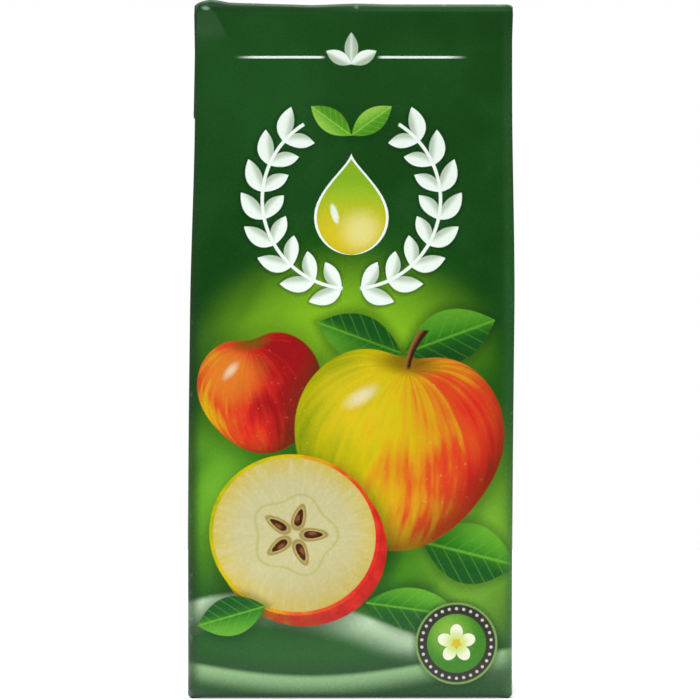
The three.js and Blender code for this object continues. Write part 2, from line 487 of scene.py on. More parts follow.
def finish_with(piece, kind, **settings):
    """Adds a modifier with its settings and applies it."""
    start_fresh()
    bpy.context.view_layer.objects.active = piece
    piece.select_set(True)
    modifier = piece.modifiers.new(kind.lower(), kind)
    for name, setting in settings.items():
        setattr(modifier, name, setting)
    bpy.ops.object.modifier_apply(modifier=modifier.name)


def press_grooves():
    begin_edit()
    for share in FIN_GROOVES:
        pick("verts", at_place(1, share * SEAL_WIDTH))
        bpy.ops.transform.shrink_fatten(value=-GROOVE_DEPTH)
    end_edit()


def lay_fin(points):
    """Lays the strip on the flaps and on the sagging top panel."""
    x, y, z = points.T
    laid = points.copy()
    laid[:, 2] -= TOP_SAG * hollow(x, y) * smooth(z, HEIGHT - FIN_BEND, HEIGHT)
    laid[:, 0] -= np.sign(x) * tuck(z) * smooth(abs(x), WIDTH / 2 - FOLD_HOLD, WIDTH / 2)
    return laid


press_grooves()
move_points(top_fin, lay_fin)
move_points(top_fin, settle)
fin_thickness = FIN_STACK + FIN_SUNK
finish_with(top_fin, "SOLIDIFY", thickness=fin_thickness, offset=2 * FIN_STACK / fin_thickness - 1)
finish_with(top_fin, "BEVEL", width=FIN_EDGE, segments=2, limit_method="ANGLE")
print("top seal faces:", len(top_fin.data.polygons))

# %% [markdown]
# The board meets itself in a seam down the back, where one edge is lapped over the other. The lap shows as
# a band with a cut edge on one side. It could be a line in the print, but the step in it catches the light,
# so it is a thin wedge. The bottom has a seal as well, which shows between the base flaps.

# %% The back seam and the bottom seal
LAP_WIDTH = 9 * mm
LAP_EDGE_X = 30 * mm
LAP_SLOPE = 1.5 * BOARD


def model_back_lap():
    back, ends = DEPTH / 2, BASE_GAP + END_FOLD_RADIUS
    low = (LAP_EDGE_X - LAP_WIDTH, back - FOLD_HOLD, ends)
    lap = add_block("back_lap", low, (LAP_EDGE_X, back + BOARD, HEIGHT - ends))
    begin_edit()
    pick("verts", lambda co: co.x < LAP_EDGE_X - BOARD and co.y > back)
    bpy.ops.transform.translate(value=(0, -LAP_SLOPE, 0))
    slice_evenly(2, ends, HEIGHT - ends, GRID)
    slice_evenly(0, LAP_EDGE_X - LAP_WIDTH, LAP_EDGE_X, GRID)
    end_edit()
    move_points(lap, settle)
    return lap


def model_base_fin():
    half = WIDTH / 2 - FLAP_LENGTH + FOLD_HOLD
    fin = add_block("base_fin", (-half, -SEAL_WIDTH, BASE_GAP), (half, 0, BASE_GAP + FOLD_HOLD))
    begin_edit()
    pick("edges", at_place(2, BASE_GAP))
    round_picked(BOARD / 2, segments=2)
    end_edit()
    return fin


back_lap = model_back_lap()
base_fin = model_base_fin()
print("seam faces:", len(back_lap.data.polygons), "bottom seal faces:", len(base_fin.data.polygons))

# %% [markdown]
# The flaps and seals are folds of the same sheet. Joining them would leave their walls inside the body, so
# a Boolean union makes one closed skin of them all. It works on a collection, which is removed with its
# pieces afterwards. Where two pieces touch, the union leaves points that nearly coincide and points in the
# middle of an edge. The first are merged and the others dissolved, so that the shading stays clean.

# %% One skin
SKIN_MERGE_DISTANCE = 3e-6
SMOOTH_ANGLE = math.radians(30)


def unite(body, pieces):
    folds = bpy.data.collections.new("folds")
    for piece in pieces:
        folds.objects.link(piece)
    union = {"operand_type": "COLLECTION", "collection": folds, "operation": "UNION", "solver": "MANIFOLD"}
    finish_with(body, "BOOLEAN", **union)
    for piece in pieces:
        bpy.data.objects.remove(piece)
    bpy.data.collections.remove(folds)


def pick_midway_points():
    """Selects the points where only two edges meet."""
    mesh = bpy.context.object.data
    grid = bmesh.from_edit_mesh(mesh)
    bpy.ops.mesh.select_all(action="DESELECT")
    midway = [point for point in grid.verts if len(point.link_edges) == 2]
    for point in midway:
        point.select_set(True)
    grid.select_flush_mode()
    bmesh.update_edit_mesh(mesh)
    return len(midway)


def clean_skin():
    begin_edit("VERT")
    bpy.ops.mesh.select_all(action="SELECT")
    bpy.ops.mesh.remove_doubles(threshold=SKIN_MERGE_DISTANCE)
    while pick_midway_points():
        bpy.ops.mesh.dissolve_verts()
    end_edit()
    bpy.ops.object.shade_smooth_by_angle(angle=SMOOTH_ANGLE)


def open_edges(piece):
    """Counts the edges that don't have a face on both sides."""
    skin = bmesh.new()
    skin.from_mesh(piece.data)
    count = sum(not edge.is_manifold for edge in skin.edges)
    skin.free()
    return count


flaps = [flap for pair in zip(side_flaps, base_flaps) for flap in pair]
unite(carton, [*flaps, top_fin, back_lap, base_fin])
clean_skin()
print("skin faces:", len(carton.data.polygons), "open edges:", open_edges(carton))

# %% [markdown]
# The design is printed while the sheet is flat, so it is drawn on the flat sheet here too. A UV map gives
# each corner of the mesh its place on the sheet, in millimetres: u runs around the carton, with 0 in the
# middle of the front, and v runs up from the table. The ends of the sheet meet at the lap on the back. Past
# the top and bottom folds v runs on over the ends. Unwrapping along marked seams could give a like map, but
# a formula keeps the millimetres, so that a motif's size can be written down as it would be measured.

# %% The place of a point on the flat sheet
HALF_W, HALF_D = WIDTH / 2, DEPTH / 2
END_FACING = 0.75


def panel_of(normal, middle):
    """Names the panel of the sheet that a face belongs to."""
    at_end = middle.z > HEIGHT / 2 or middle.z < HEIGHT / 4
    on_side = abs(normal.x) > abs(normal.y) and not (at_end and abs(normal.z) > END_FACING)
    if on_side:
        return "right" if middle.x > 0 else "left"
    return "front" if middle.y < 0 else "back"


def sheet_place(panel, point, lap_side):
    """The place of a point on the flat sheet, in metres."""
    x, y, z = point
    if panel == "front":
        u = x
    elif panel == "right":
        u = HALF_W + y + HALF_D
    elif panel == "left":
        u = -HALF_W - y - HALF_D
    else:
        u = WIDTH + DEPTH - x if lap_side else -WIDTH - DEPTH - x
    over = HALF_D - abs(y)
    if z > HEIGHT - END_FOLD_RADIUS and over > END_FOLD_RADIUS:
        return u, HEIGHT + over
    if z < BASE_GAP + END_FOLD_RADIUS and over > END_FOLD_RADIUS:
        return u, -over
    return u, z


corner_place = sheet_place("right", (HALF_W, -HALF_D, HEIGHT), False)
print("top right corner of the front on the sheet, mm:", [round(part / mm, 1) for part in corner_place])

# %% [markdown]
# The board shows its bare core where it is cut: along the edge of the top seal and along the lap on the
# back. The faces there could get a material of their own, but the sheet is one piece and has one material.
# So an attribute marks them, and the print leaves them bare.

# %% The map of the sheet and its cut edges
SEAL_EDGE_FACING, LAP_EDGE_FACING = 0.9, 0.8


def is_cut_edge(face):
    normal, middle = face.normal, face.center
    on_seal = abs(middle.y - SEAL_WIDTH) < BOARD / 2 and normal.y > SEAL_EDGE_FACING
    on_lap = abs(middle.x - LAP_EDGE_X) < 2 * BOARD and normal.x > LAP_EDGE_FACING
    return on_seal or (on_lap and middle.y > HALF_D - BOARD)


def map_sheet(piece):
    mesh = piece.data
    places = np.zeros((len(mesh.loops), 2))
    bare = np.zeros(len(mesh.loops))
    for face in mesh.polygons:
        panel = panel_of(face.normal, face.center)
        lap_side = face.center.x > LAP_EDGE_X
        is_bare = is_cut_edge(face)
        for loop in face.loop_indices:
            point = mesh.vertices[mesh.loops[loop].vertex_index].co
            places[loop] = sheet_place(panel, point, lap_side)
            bare[loop] = is_bare
    mesh.uv_layers.new(name="Sheet").data.foreach_set("uv", (places / mm).ravel())
    mesh.attributes.new("cut_edge", "FLOAT", "CORNER").data.foreach_set("value", bare)
    return int(bare.sum())


print("corners on a cut edge:", map_sheet(carton))

# %% [markdown]
# A second map lays the whole skin out on one square, for a copy of the finish that is painted into a
# picture. Smart Project unwraps the panels by the way they face. Before they are packed, the two printed
# panels are drawn larger and the others smaller, so that the fine drawing gets most of the square.

# %% A layout of the skin on one square
PANEL_SHARES = {"x": (0.6, 0.6), "y": (1.45, 1.25), "z": (0.4, 0.6)}
SPLIT_ANGLE = math.radians(66)
UNWRAP_MARGIN, PACK_MARGIN = 0.004, 0.003


def panel_share(normal):
    """How large a face is drawn on the layout, by the side of the carton that it faces."""
    axis = max("xyz", key=lambda name: abs(getattr(normal, name)))
    return PANEL_SHARES[axis][getattr(normal, axis) > 0]


def lay_out(piece):
    mesh = piece.data
    mesh.uv_layers.active = mesh.uv_layers.new(name="OFBake")
    begin_edit("FACE")
    bpy.ops.mesh.select_all(action="SELECT")
    bpy.ops.uv.smart_project(angle_limit=SPLIT_ANGLE, island_margin=UNWRAP_MARGIN)
    end_edit()
    corners = mesh.uv_layers["OFBake"].data
    for face in mesh.polygons:
        share = panel_share(face.normal)
        for loop in face.loop_indices:
            corners[loop].uv *= share
    begin_edit("FACE")
    bpy.ops.mesh.select_all(action="SELECT")
    bpy.ops.uv.select_all(action="SELECT")
    bpy.ops.uv.pack_islands(margin=PACK_MARGIN, shape_method="CONCAVE")
    end_edit()
    return [round(max(corner.uv[axis] for corner in corners), 3) for axis in (0, 1)]


print("layout reaches:", lay_out(carton))

# %% [markdown]
# The ink is worked out by shader nodes, because a drawing by formula stays sharp at any size. Nearly a
# thousand nodes that are wired by hand would be hopeless to read. So a small class wraps a node's output,
# and sums on it are written as Python: each operator adds a Math node.


# %% Sums on node outputs
class Value:
    """A number that varies over a surface. Python's operators add Math nodes."""

    def __init__(self, press, socket):
        self.press = press
        self.socket = socket

    def __add__(self, other):
        return self.press.math("ADD", self, other)

    def __sub__(self, other):
        return self.press.math("SUBTRACT", self, other)

    def __rsub__(self, other):
        return self.press.math("SUBTRACT", other, self)

    def __mul__(self, other):
        return self.press.math("MULTIPLY", self, other)

    def __truediv__(self, other):
        return self.press.math("DIVIDE", self, other)

    def __rtruediv__(self, other):
        return self.press.math("DIVIDE", other, self)

    def __abs__(self):
        return self.press.math("ABSOLUTE", self)

    __radd__ = __add__
    __rmul__ = __mul__


print("operators on a value: + - * / and abs")

# %% [markdown]
# A press makes the nodes, one method for each kind that the design needs. All of them go through `node`,
# which adds a node of any type, sets it up and then fills or links its sockets. Inks go over each other in
# printing order with Mix nodes, because a Math node would turn a colour grey.


# %% The press
class Press:
    """Makes the nodes of a material or of the world."""

    def __init__(self, owner):
        owner.use_nodes = True
        self.tree = owner.node_tree
        self.tree.nodes.clear()

    def node(self, kind, settings, sockets):
        """Adds a node: first its settings, then the values or links of its sockets, by name or number."""
        node = self.tree.nodes.new(kind)
        for name, setting in settings.items():
            if name == "stops":
                self.set_stops(node.color_ramp.elements, setting)
            else:
                setattr(node, name, setting)
        for key, value in sockets.items():
            if isinstance(value, Value):
                value = value.socket
            if isinstance(value, bpy.types.NodeSocket):
                self.tree.links.new(value, node.inputs[key])
            else:
                node.inputs[key].default_value = value
        return node

    def set_stops(self, elements, stops):
        """Gives a new ramp, which has two stops, all its stops. Each is a position and an ink."""
        for position, tone in stops[1:-1]:
            elements.new(position).color = tone
        elements[0].position, elements[0].color = stops[0]
        elements[-1].position, elements[-1].color = stops[-1]

    def math(self, operation, *values):
        node = self.node("ShaderNodeMath", {"operation": operation}, dict(enumerate(values)))
        return Value(self, node.outputs[0])

    def step(self, value, low, high):
        """0 below low and 1 above high, smooth between them. High may be the smaller one."""
        sockets = {"Value": value, "From Min": low, "From Max": high}
        node = self.node("ShaderNodeMapRange", {"interpolation_type": "SMOOTHSTEP"}, sockets)
        return Value(self, node.outputs[0])

    def over(self, under, tone, share):
        """Prints a tone over the colours below it, as strongly as the share says."""
        settings = {"data_type": "RGBA", "blend_type": "MIX"}
        return self.node("ShaderNodeMix", settings, {0: share, 6: under, 7: tone}).outputs[2]

    def ramp(self, value, stops):
        return self.node("ShaderNodeValToRGB", {"stops": stops}, {0: value}).outputs[0]

    def local(self, vector, place, turn=0, size=(1, 1)):
        """Moves a vector into a motif's own frame and returns its two coordinates there."""
        sockets = {"Vector": vector, "Location": (*place, 0), "Rotation": (0, 0, math.radians(turn))}
        sockets["Scale"] = (*size, 1)
        node = self.node("ShaderNodeMapping", {"vector_type": "TEXTURE"}, sockets)
        return self.split(node.outputs[0])

    def split(self, vector):
        parts = self.node("ShaderNodeSeparateXYZ", {}, {0: vector}).outputs
        return Value(self, parts[0]), Value(self, parts[1])

    def join(self, x, y):
        return self.node("ShaderNodeCombineXYZ", {}, {0: x, 1: y}).outputs[0]

    def reach(self, x, y):
        """How far a point is from the middle."""
        return self.math("SQRT", x * x + y * y)

    def noise(self, vector, scale, detail=2):
        sockets = {"Vector": vector, "Scale": scale, "Detail": detail}
        node = self.node("ShaderNodeTexNoise", {"noise_dimensions": "3D"}, sockets)
        return Value(self, node.outputs[0])


board = bpy.data.materials.new("printed_board")
press = Press(board)
print("press set up for:", board.name)

# %% [markdown]
# The sheet carries the same design twice, on the front with the right panel and on the back with the left
# one. So u is wrapped after the width of two panels, and everything is drawn once. Noise that belongs to
# the board itself reads Object coordinates instead. The edges of the print are soft over a small distance,
# as ink is.

# %% Places on the sheet and inks
REPEAT = (WIDTH + DEPTH) / mm
SOFT = 0.14
sheet_u, v = press.split(press.node("ShaderNodeUVMap", {"uv_map": "Sheet"}, {}).outputs[0])
u = press.math("WRAP", sheet_u, REPEAT / 2, -REPEAT / 2)
sheet = press.join(u, v)
on_board = press.node("ShaderNodeTexCoord", {}, {}).outputs["Object"]


def ink(red, green, blue):
    """An ink from the screen values of its colour, 0 to 255."""
    channels = [value / 255 for value in (red, green, blue)]
    linear = [c / 12.92 if c <= 0.04045 else ((c + 0.055) / 1.055) ** 2.4 for c in channels]
    return (*linear, 1)


def filled(inside):
    """A mask for an outline, from the distance inside it."""
    return press.step(inside, -SOFT, SOFT)


def disc(far, radius, soft=SOFT):
    """A mask for a disc, from the distance to its middle."""
    return press.step(far, radius + soft, radius - soft)


print("design repeats after, mm:", REPEAT)

# %% [markdown]
# The ground is a deep green, mottled by a noise, with a painted sheen in an oval at the upper left, lighter
# where the light falls. Behind the fruit it opens into a lime glow like foliage out of focus. A picture of
# leaves could be blurred for it, but soft ovals that a stretched noise breaks up need no picture.

# %% Ground and glow
DEEP = ink(14, 66, 15)
DEEP_TOP = ink(21, 71, 21)
# A lighter green for the random mottle and for a painted sheen at the upper left.
DEEP_MOTTLE_AND_SHEEN = ink(33, 86, 34)
GLOWS = (
    # ink, middle, radii, core, foliage that is too thin, foliage that is full
    (ink(57, 128, 18), (0, 68), (56, 72), 0.4, 0.12, 0.45),
    (ink(128, 184, 31), (-2, 98), (47, 31), 0.3, 0.08, 0.42),
    (ink(119, 175, 48), (34, 46), (25, 44), 0.0, 0.1, 0.5),
    (ink(104, 166, 40), (-38, 58), (17, 34), 0.0, 0.15, 0.5),
)


def oval(middle, radii, core=0.0):
    """A soft oval: 1 inside the core, falling to 0 at its edge."""
    x, y = press.local(sheet, middle, 0, radii)
    return press.step(press.reach(x, y), 1, core)


def print_ground():
    colour = press.over(DEEP, DEEP_TOP, press.step(v, 60, 190))
    colour = press.over(colour, DEEP_MOTTLE_AND_SHEEN, press.step(press.noise(on_board, 40), 0.4, 0.7) * 0.5)
    # Painted sheen: an oval of lighter green at the upper left, where the light falls.
    colour = press.over(colour, DEEP_MOTTLE_AND_SHEEN, oval((-27, 170), (46, 36)) * 0.55)
    slant_x, slant_y = press.local(sheet, (0, 60), 62, (60, 17))
    foliage = press.noise(press.join(slant_x, slant_y), 1.3, 1)
    for tone, middle, radii, core, thin, full in GLOWS:
        colour = press.over(colour, tone, oval(middle, radii, core) * press.step(foliage, thin, full))
    return colour


colour = print_ground()
print("glows printed:", len(GLOWS))

# %% [markdown]
# A pale swoosh runs around the foot of all four panels. It is airbrushed: bright along its crest and fading
# downwards into the green. A sine is the simplest wave that meets itself, so one is fitted to the repeat.

# %% Swoosh
MINT, PALE_MINT = ink(171, 198, 163), ink(136, 175, 123)
SWOOSH_GROUND, SWOOSH_SHADOW = ink(25, 83, 26), ink(20, 67, 22)


def below_crest(level, height, shift):
    """How far a point lies below a wavy line around the foot."""
    return press.math("SINE", u * (2 * math.pi / REPEAT) + shift) * height + level - v


def print_swoosh(under):
    back = below_crest(21, 9, 2.7)
    colour = press.over(under, SWOOSH_GROUND, press.step(back, -0.7, 1))
    bright = press.step(back, -0.7, 1.2) * press.step(back, 11, 1)
    colour = press.over(colour, MINT, bright)
    front = below_crest(11, 4.5, 5.2)
    colour = press.over(colour, SWOOSH_SHADOW, press.step(front, -6, 0.5) * 0.9)
    bright = press.step(front, -0.6, 1) * press.step(front, 6.8, 0.8)
    return press.over(colour, PALE_MINT, bright * 0.9)


colour = print_swoosh(colour)
print("swoosh printed, wave length in mm:", REPEAT)

# %% [markdown]
# A leaf is an outline that is widest in the middle and comes to a point at both ends: a parabola along its
# length. It gets a pale midrib, side veins that slant towards the tip, one half in a darker tone, and a
# soft shadow below it. One function with a few sizes draws all the leaves of the design.

# %% Leaves
LEAF_TONES = (ink(23, 82, 27), ink(48, 128, 25), ink(104, 171, 46))
LEAF_SHADOW = ink(12, 42, 16)
VEINS = 7
BACK_LEAVES = (
    # foot, turn, length, half width
    ((15, 97), 20, 27, 7.5),
    ((14, 97), 160, 25, 6.5),
    ((20, 44), -14, 27, 8.5),
)


def leaf_shape(vector, foot, turn, length, half_width):
    """Coordinates along and across a leaf, from 0 to 1 and -1 to 1, and the distance inside its outline."""
    along, across = press.local(vector, foot, turn, (length, half_width))
    inside = (along * (4 - 4 * along) - abs(across)) * half_width
    return along, across, inside


def print_leaf(under, foot, turn, length, half_width, tones=LEAF_TONES, shade=0.5):
    dark, mid, lit = tones
    along, across, inside = leaf_shape(sheet, foot, turn, length, half_width)
    colour = press.over(under, LEAF_SHADOW, press.step(inside, -4, 0.5) * shade)
    tone = press.over(dark, mid, press.step(across, -0.5, 0.5))
    tone = press.over(tone, lit, press.step(along * 0.5 + across * 0.6, 0.15, 0.95) * 0.75)
    slant = along * length - abs(across) * (half_width * 0.9)
    vein = abs(press.math("FRACT", slant / (length / VEINS)) - 0.5)
    tone = press.over(tone, lit, press.step(vein, 0.09, 0.01) * 0.35)
    tone = press.over(tone, lit, press.step(abs(across), 0.07, 0.02) * 0.7)
    return press.over(colour, tone, filled(inside))


for leaf in BACK_LEAVES:
    colour = print_leaf(colour, *leaf)
print("leaves behind the fruit:", len(BACK_LEAVES))

# %% [markdown]
# A whole fruit has shoulders: its outline dips at the stem, is widest above the middle and narrows towards
# the base. Flat streaks would make it look like a disc. So its skin is worked out on a ball that leans
# towards the viewer, and the streaks run from the stem to the base, as on a real one. The light from the
# upper left uses the same ball.

# %% Skin of a fruit
SKIN_STOPS = (
    (0.0, ink(132, 145, 9)),
    (0.18, ink(168, 169, 8)),
    (0.36, ink(208, 184, 8)),
    (0.50, ink(213, 149, 23)),
    (0.62, ink(215, 78, 29)),
    (0.78, ink(213, 42, 31)),
    (1.0, ink(156, 18, 23)),
)
SPOT, SPOTS_ACROSS = ink(228, 207, 121), 10
SKIN_SHADE, SKIN_GLOW, GLEAM = ink(85, 40, 7), ink(240, 214, 50), ink(238, 233, 205)
FRUIT_LEAN = math.radians(33)


def light_skin(tone, x, y, depth):
    """Shades a skin, warms its lit side and sets a gleam on it."""
    light = x * -0.4 + y * 0.42 + depth * 0.8
    tone = press.over(tone, SKIN_SHADE, press.step(light, 0.45, -0.3) * 0.7)
    tone = press.over(tone, SKIN_GLOW, press.step(light, 0.75, 1.02) * 0.26)
    gleam_x, gleam_y = press.local(press.join(x, y), (-0.4, 0.43), 38, (0.24, 0.1))
    return press.over(tone, GLEAM, press.step(press.reach(gleam_x, gleam_y), 1, 0.1) * 0.6)


def print_skin(x, y, share, blush):
    """The skin of a fruit. The share is 0 at its middle and 1 at its outline."""
    depth = press.math("SQRT", press.math("MAXIMUM", 1 - share * share, 0.0))
    along = y * math.cos(FRUIT_LEAN) + depth * math.sin(FRUIT_LEAN)
    out = depth * math.cos(FRUIT_LEAN) - y * math.sin(FRUIT_LEAN)
    meridian = press.math("ARCTAN2", x, out)
    streaks = press.noise(press.join(meridian * 4.5, along * 0.7), 2.2, 3)
    patches = press.noise(press.join(x, y), 1.7, 1)
    tone = press.ramp(x * 0.36 + (streaks - 0.5) * 0.5 + (patches - 0.5) * 0.5 + blush, SKIN_STOPS)
    cells = press.node("ShaderNodeTexVoronoi", {}, {"Vector": press.join(x, y), "Scale": SPOTS_ACROSS})
    tone = press.over(tone, SPOT, press.step(Value(press, cells.outputs[0]), 0.13, 0.05) * 0.3)
    return light_skin(tone, x, y, depth)


print("tones of the skin:", len(SKIN_STOPS))

# %% Whole fruit
FRUIT_SHADOW, PIT = ink(18, 52, 12), ink(104, 85, 7)
BARK_DARK, BARK_LIT = ink(57, 31, 14), ink(147, 98, 53)
SMALL_FRUIT, SMALL_BLUSH = ((-25.3, 86), 17.8, 12), 0.86
MAIN_FRUIT, MAIN_BLUSH = ((13, 70.5), 30, -7), 0.44


def fruit_outline(x, y):
    """How far a point is from the middle of a fruit, and how far the outline is in the same direction."""
    far = press.reach(x, y)
    up = y / (far + 0.001)
    angle = press.math("ARCTAN2", x, y)
    dip = press.math("EXPONENT", angle * angle * -8) * 0.13
    rim = up * (1 - up * up) * 0.17 + 0.97 - dip
    return far, rim


def print_fruit(under, middle, radius, turn, blush):
    """Prints a fruit with its shadow. The blush is the place in the skin's tones at its middle."""
    x, y = press.local(sheet, middle, turn, (radius, radius))
    far, rim = fruit_outline(x, y)
    inside = (rim - far) * radius
    colour = press.over(under, FRUIT_SHADOW, press.step(inside, -7, 0.5) * 0.35)
    tone = print_skin(x, y, far / rim, blush)
    pit_x, pit_y = press.local(press.join(x, y), (0.0, 0.8), 0, (0.42, 0.17))
    tone = press.over(tone, PIT, press.step(press.reach(pit_x, pit_y), 1, 0.2) * 0.8)
    return press.over(colour, tone, filled(inside))


def print_stalk(under, middle, radius, turn):
    """A bent stalk that is thicker at its end."""
    x, y = press.local(sheet, middle, turn, (radius, radius))
    bend = x - (y - 0.74) * (y - 0.74) * 0.8
    half = press.step(y, 0.8, 1.15) * 0.02 + 0.026
    mask = press.step(abs(bend) / half, 1.15, 0.85) * press.step(y, 0.72, 0.77) * press.step(y, 1.13, 1.11)
    bark = press.over(BARK_DARK, BARK_LIT, press.step(bend / half, 0.3, -0.8))
    return press.over(under, bark, mask)


colour = print_fruit(colour, *SMALL_FRUIT, SMALL_BLUSH)
colour = print_fruit(colour, *MAIN_FRUIT, MAIN_BLUSH)
colour = print_stalk(colour, *MAIN_FRUIT)
print("fruit radii, mm:", SMALL_FRUIT[1], MAIN_FRUIT[1])

# %% [markdown]
# In front leans a slice, cut straight across: a ring of skin around cream flesh, with a star of five seed
# chambers in the middle. Drawing five chambers would take five times the nodes, so one is drawn and
# repeated by folding the angle around the centre.

# %% Core of the slice
CHAMBERS = 5
CORE_LINE, POD_DARK, POD_LIT = ink(164, 166, 78), ink(149, 130, 65), ink(192, 177, 112)
SEED, SEED_LIT = ink(68, 33, 15), ink(149, 97, 52)


def fold_angle(x, y, count):
    """Folds a vector around the centre into one of a number of equal sectors."""
    sector = 2 * math.pi / count
    angle = press.math("WRAP", press.math("ARCTAN2", x, y), sector / 2, -sector / 2)
    far = press.reach(x, y)
    return press.math("SINE", angle) * far, press.math("COSINE", angle) * far


def egg(vector, middle, radii, taper, width):
    """How far a point is from the middle of an egg, and its two coordinates there. The outline is at 1."""
    x, y = press.local(vector, middle, 0, radii)
    return press.reach(x * (y * taper + width), y), x, y


def print_core(under, x, y):
    """The core of the slice: its outline, its chambers and a seed in each."""
    angle = press.math("ARCTAN2", x, y)
    outline = abs(press.reach(x, y) - 0.47 - press.math("COSINE", angle * CHAMBERS) * 0.045)
    tone = press.over(under, CORE_LINE, press.step(outline, 0.03, 0.0) * 0.55)
    arm = press.join(*fold_angle(x, y, CHAMBERS))
    pod, _, _ = egg(arm, (0, 0.23), (0.1, 0.17), 0.35, 1.25)
    tone = press.over(tone, POD_DARK, press.step(pod, 1.1, 0.95) * 0.9)
    tone = press.over(tone, POD_LIT, press.step(pod, 0.9, 0.6) * 0.6)
    pip, pip_x, pip_y = egg(arm, (0, 0.225), (0.055, 0.115), 0.4, 1.2)
    tone = press.over(tone, SEED, press.step(pip, 1.05, 0.9))
    return press.over(tone, SEED_LIT, press.step(press.reach(pip_x + 0.3, pip_y + 0.1), 0.6, 0.2) * 0.6)


print("seed chambers:", CHAMBERS)

# %% [markdown]
# The slice itself is two ovals: the cut face, and a copy of it that is moved down and to the right, which
# shows the slice's thickness as a rim of skin. Two leaves lie over its foot.

# %% Slice
CREAM, CREAM_EDGE = ink(192, 186, 136), ink(198, 179, 78)
GRAIN, FLESH_SHADE = ink(207, 201, 160), ink(166, 147, 78)
SLICE_SHADOW, RIM_SHADE = ink(22, 40, 10), ink(78, 20, 9)
FLESH_SHARE = 0.955
SLICE_MIDDLE, SLICE_RADII, SLICE_TURN = (-16, 46), (24, 22.5), -16
SLICE_THICKNESS = (2.0, -3.0)
FRONT_LEAVES = (
    # foot, turn, length, half width
    ((4, 27), -8, 27, 6),
    ((-24, 26), 196, 20, 5.5),
)


def print_flesh(x, y):
    far = press.reach(x, y)
    flesh = press.over(CREAM, CREAM_EDGE, press.step(far, 0.6, 1.0))
    grain = press.noise(press.join(press.math("ARCTAN2", x, y) * 7, far * 2), 2)
    flesh = press.over(flesh, GRAIN, press.step(grain, 0.4, 0.75) * 0.4)
    flesh = press.over(flesh, FLESH_SHADE, press.step(x * 0.6 - y * 0.8, 0.2, 1.1) * 0.45)
    return print_core(flesh, x, y)


def print_slice(under):
    soft = SOFT / SLICE_RADII[0]
    x, y = press.local(sheet, SLICE_MIDDLE, SLICE_TURN, SLICE_RADII)
    far = press.reach(x, y)
    side_middle = [place + shift for place, shift in zip(SLICE_MIDDLE, SLICE_THICKNESS)]
    side_x, side_y = press.local(sheet, side_middle, SLICE_TURN, SLICE_RADII)
    side_far = press.reach(side_x, side_y)
    colour = press.over(under, SLICE_SHADOW, press.step(side_far, 1.25, 0.92) * 0.6)
    streaks = (press.noise(press.join(side_x, side_y), 5) - 0.5) * 0.4
    skin = press.ramp(side_x * 0.3 + streaks + 0.62, SKIN_STOPS)
    skin = press.over(skin, RIM_SHADE, press.step(side_y, -0.3, -1.05) * 0.55)
    colour = press.over(colour, skin, disc(side_far, 1, soft))
    rim = press.ramp(x * 0.3 + streaks + 0.5, SKIN_STOPS)
    colour = press.over(colour, rim, disc(far, 1, soft))
    return press.over(colour, print_flesh(x, y), disc(far, FLESH_SHARE, soft))


colour = print_slice(colour)
for leaf in FRONT_LEAVES:
    colour = print_leaf(colour, *leaf)
print("slice printed, leaves in front:", len(FRONT_LEAVES))

# %% [markdown]
# A round badge sits low on the right: a dark ring with a row of dots, and a blossom on a green disc. The
# dots and the petals are each drawn once and repeated by folding the angle, as the seed chambers are.

# %% Badge
BADGE, BADGE_R = (29.5, 15.5), 11.5
DISC_R, DOTS_R = 0.72 * BADGE_R, 0.85 * BADGE_R
DOTS, PETALS = 30, 5
PETAL_R, PETAL_PLACE = 2.25, 3.2
BADGE_SHADOW, BADGE_RIM, BADGE_RING = ink(22, 48, 20), ink(112, 149, 78), ink(45, 42, 36)
DOT, DISC_LIT, DISC_DARK = ink(192, 194, 179), ink(119, 170, 55), ink(53, 121, 22)
PETAL, PETAL_FOOT, PETAL_SHADOW = ink(222, 226, 200), ink(190, 207, 112), ink(35, 85, 18)
STAMEN = ink(200, 173, 27)


def print_blossom(under, x, y):
    far = press.reach(x, y)
    petal_x, petal_y = fold_angle(x, y, PETALS)
    petal = press.reach(petal_x * 1.25, petal_y - PETAL_PLACE)
    colour = press.over(under, PETAL_SHADOW, press.step(petal, 2.9, 1.9) * 0.5)
    blush = press.over(PETAL, PETAL_FOOT, press.step(far, 4.5, 1.5))
    colour = press.over(colour, blush, disc(petal, PETAL_R))
    return press.over(colour, STAMEN, press.step(far, 1.3, 1.0))


def print_badge(under):
    x, y = press.local(sheet, BADGE)
    far = press.reach(x, y)
    colour = press.over(under, BADGE_SHADOW, press.step(far, BADGE_R + 2, BADGE_R - 0.5) * 0.6)
    colour = press.over(colour, BADGE_RIM, disc(far, BADGE_R))
    colour = press.over(colour, BADGE_RING, press.step(far, BADGE_R - 0.45, BADGE_R - 0.75))
    dot_x, dot_y = fold_angle(x, y, DOTS)
    colour = press.over(colour, DOT, press.step(press.reach(dot_x, dot_y - DOTS_R), 0.55, 0.3))
    green = press.over(DISC_LIT, DISC_DARK, press.step(press.reach(x + 2, y - 3), 1, 9))
    colour = press.over(colour, green, disc(far, DISC_R))
    return print_blossom(colour, x, y)


colour = print_badge(colour)
print("badge printed, dots:", DOTS, "petals:", PETALS)

# %% [markdown]
# The upper half carries a white wreath around a drop of juice. Left and right are mirror images, so only
# one branch is drawn, on the absolute value of u. Along it a pair of leaves repeats, drawn in coordinates
# that follow the arc.

# %% Wreath
WREATH, WREATH_R = (0, 140), 25
LEAF_STEP = 0.31
BRANCH_START, BRANCH_END = 0.1, 8 * LEAF_STEP
WREATH_LEAF = ((0.2, 0.0), 40, 9.4, 2.2)
WHITE, WHITE_SHADE = ink(242, 254, 244), ink(186, 205, 181)
WREATH_SHADOW = ink(9, 37, 10)


